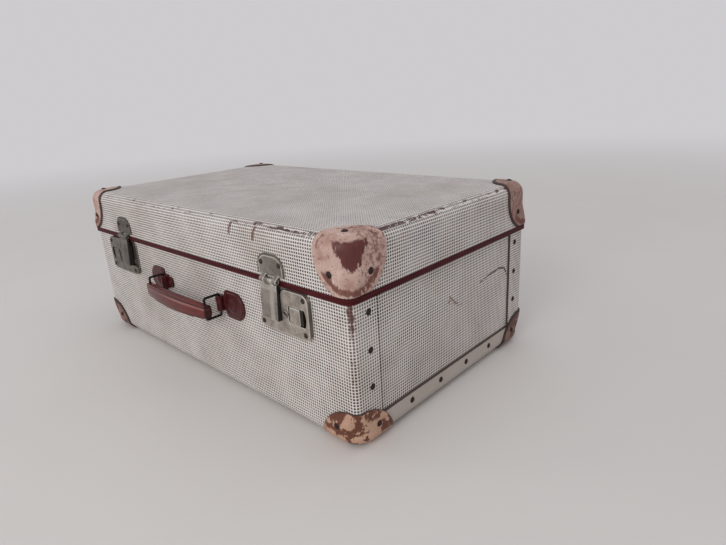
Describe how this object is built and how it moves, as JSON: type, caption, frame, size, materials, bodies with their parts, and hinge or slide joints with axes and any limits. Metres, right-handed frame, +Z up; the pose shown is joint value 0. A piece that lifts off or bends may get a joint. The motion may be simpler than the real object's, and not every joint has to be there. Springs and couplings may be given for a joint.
{
  "type": "hard travel case",
  "caption": "Small hard travel case of printed fibreboard with pressed corner caps, a hinged lid, hasp locks with slide buttons, and a moulded grip on wire loops.",
  "frame": {"origin": "middle of the bounding box, on the surface the case stands on", "axes": "+X along the front to the right as seen from the front, -Y out of the front with the handle, +Z up"},
  "size_m": [0.5066, 0.3361, 0.2007],
  "materials": {
    "printed_board": "off-white fibreboard printed with a small dark check, matt and scuffed",
    "plain_board": "plain brown fibreboard, matt",
    "lining_paper": "plain aged lining paper, matt",
    "painted_fibre": "pink-beige paint worn through to red-brown vulcanised fibre",
    "binding": "dark burgundy binding, satin",
    "grip_plastic": "burgundy moulded grip, glossy",
    "handle_lacquer": "dark burgundy lacquer, satin",
    "dark_wire": "blackened wire, worn",
    "dark_rivet": "darkened steel",
    "nickel": "dull aged nickel plate"
  },
  "bodies": {
    "base": {"base_wrap": "printed_board", "base_end_left": "printed_board", "base_end_right": "printed_board", "base_rim_lip": "plain_board", "base_lining": "lining_paper", "base_cap_front_left": "painted_fibre", "base_cap_front_right": "painted_fibre", "base_cap_back_left": "painted_fibre", "base_cap_back_right": "painted_fibre", "base_cap_rivets": "dark_rivet", "end_rivets_left": "dark_rivet", "end_rivets_right": "dark_rivet", "lock_plate_left": "nickel", "lock_plate_right": "nickel", "lock_rivets": "dark_rivet", "handle_washer_left": "handle_lacquer", "handle_washer_right": "handle_lacquer", "handle_keeper_left": "handle_lacquer", "handle_keeper_right": "handle_lacquer", "handle_rivets": "handle_lacquer", "hinge_base_leaf_left": "nickel", "hinge_base_leaf_right": "nickel", "hinge_pin_left": "nickel", "hinge_pin_right": "nickel", "hinge_base_rivets": "dark_rivet"},
    "lid": {"lid_shell": "printed_board", "lid_lining": "lining_paper", "lid_rim_binding": "binding", "lid_cap_front_left": "painted_fibre", "lid_cap_front_right": "painted_fibre", "lid_cap_back_left": "painted_fibre", "lid_cap_back_right": "painted_fibre", "lid_cap_rivets": "dark_rivet", "hasp_plate_left": "nickel", "hasp_plate_right": "nickel", "hasp_plate_rivets": "dark_rivet", "hasp_pin_left": "nickel", "hasp_pin_right": "nickel", "hinge_lid_leaf_left": "nickel", "hinge_lid_leaf_right": "nickel", "hinge_lid_rivets": "dark_rivet"},
    "hasp_left": {"hasp_left": "nickel"},
    "hasp_right": {"hasp_right": "nickel"},
    "slide_left": {"slide_left": "nickel"},
    "slide_right": {"slide_right": "nickel"},
    "key_left": {"key_barrel_left": "nickel"},
    "key_right": {"key_barrel_right": "nickel"},
    "loop_left": {"handle_loop_left": "dark_wire"},
    "loop_right": {"handle_loop_right": "dark_wire"},
    "grip": {"handle_grip": "grip_plastic"}
  },
  "joints": [
    {"name": "lid_hinge", "type": "hinge", "parent": "base", "child": "lid", "pos_m": [0, 0.16515, 0.1422], "axis": [-1, 0, 0], "range_deg": [0, 175]},
    {"name": "hasp_left_hinge", "type": "hinge", "parent": "lid", "child": "hasp_left", "pos_m": [-0.152, -0.14295, 0.147], "axis": [-1, 0, 0], "range_deg": [0, 135]},
    {"name": "hasp_right_hinge", "type": "hinge", "parent": "lid", "child": "hasp_right", "pos_m": [0.152, -0.14295, 0.147], "axis": [-1, 0, 0], "range_deg": [0, 135]},
    {"name": "slide_left_slide", "type": "slide", "parent": "base", "child": "slide_left", "axis": [-1, 0, 0], "range_m": [-0.002, 0.0055]},
    {"name": "slide_right_slide", "type": "slide", "parent": "base", "child": "slide_right", "axis": [1, 0, 0], "range_m": [-0.002, 0.0055]},
    {"name": "key_left_turn", "type": "hinge", "parent": "base", "child": "key_left", "pos_m": [-0.1699, -0.14005, 0.1185], "axis": [0, -1, 0], "range_deg": [-90, 0]},
    {"name": "key_right_turn", "type": "hinge", "parent": "base", "child": "key_right", "pos_m": [0.1699, -0.14005, 0.1185], "axis": [0, -1, 0], "range_deg": [0, 90]},
    {"name": "loop_left_hinge", "type": "hinge", "parent": "base", "child": "loop_left", "pos_m": [-0.0595, -0.14205, 0.1018], "axis": [0, 0, 1], "range_deg": [-45, 45]},
    {"name": "loop_right_hinge", "type": "hinge", "parent": "base", "child": "loop_right", "pos_m": [0.0595, -0.14205, 0.1018], "axis": [0, 0, 1], "range_deg": [-45, 45]},
    {"name": "grip_hinge", "type": "hinge", "parent": "loop_left", "child": "grip", "pos_m": [-0.0595, -0.15955, 0.1018], "axis": [0, 0, 1], "range_deg": [-45, 45]}
  ],
  "couplings": [
    {"joint": "loop_right_hinge", "follows": "loop_left_hinge", "ratio": 1},
    {"joint": "grip_hinge", "follows": "loop_left_hinge", "ratio": -1}
  ]
}
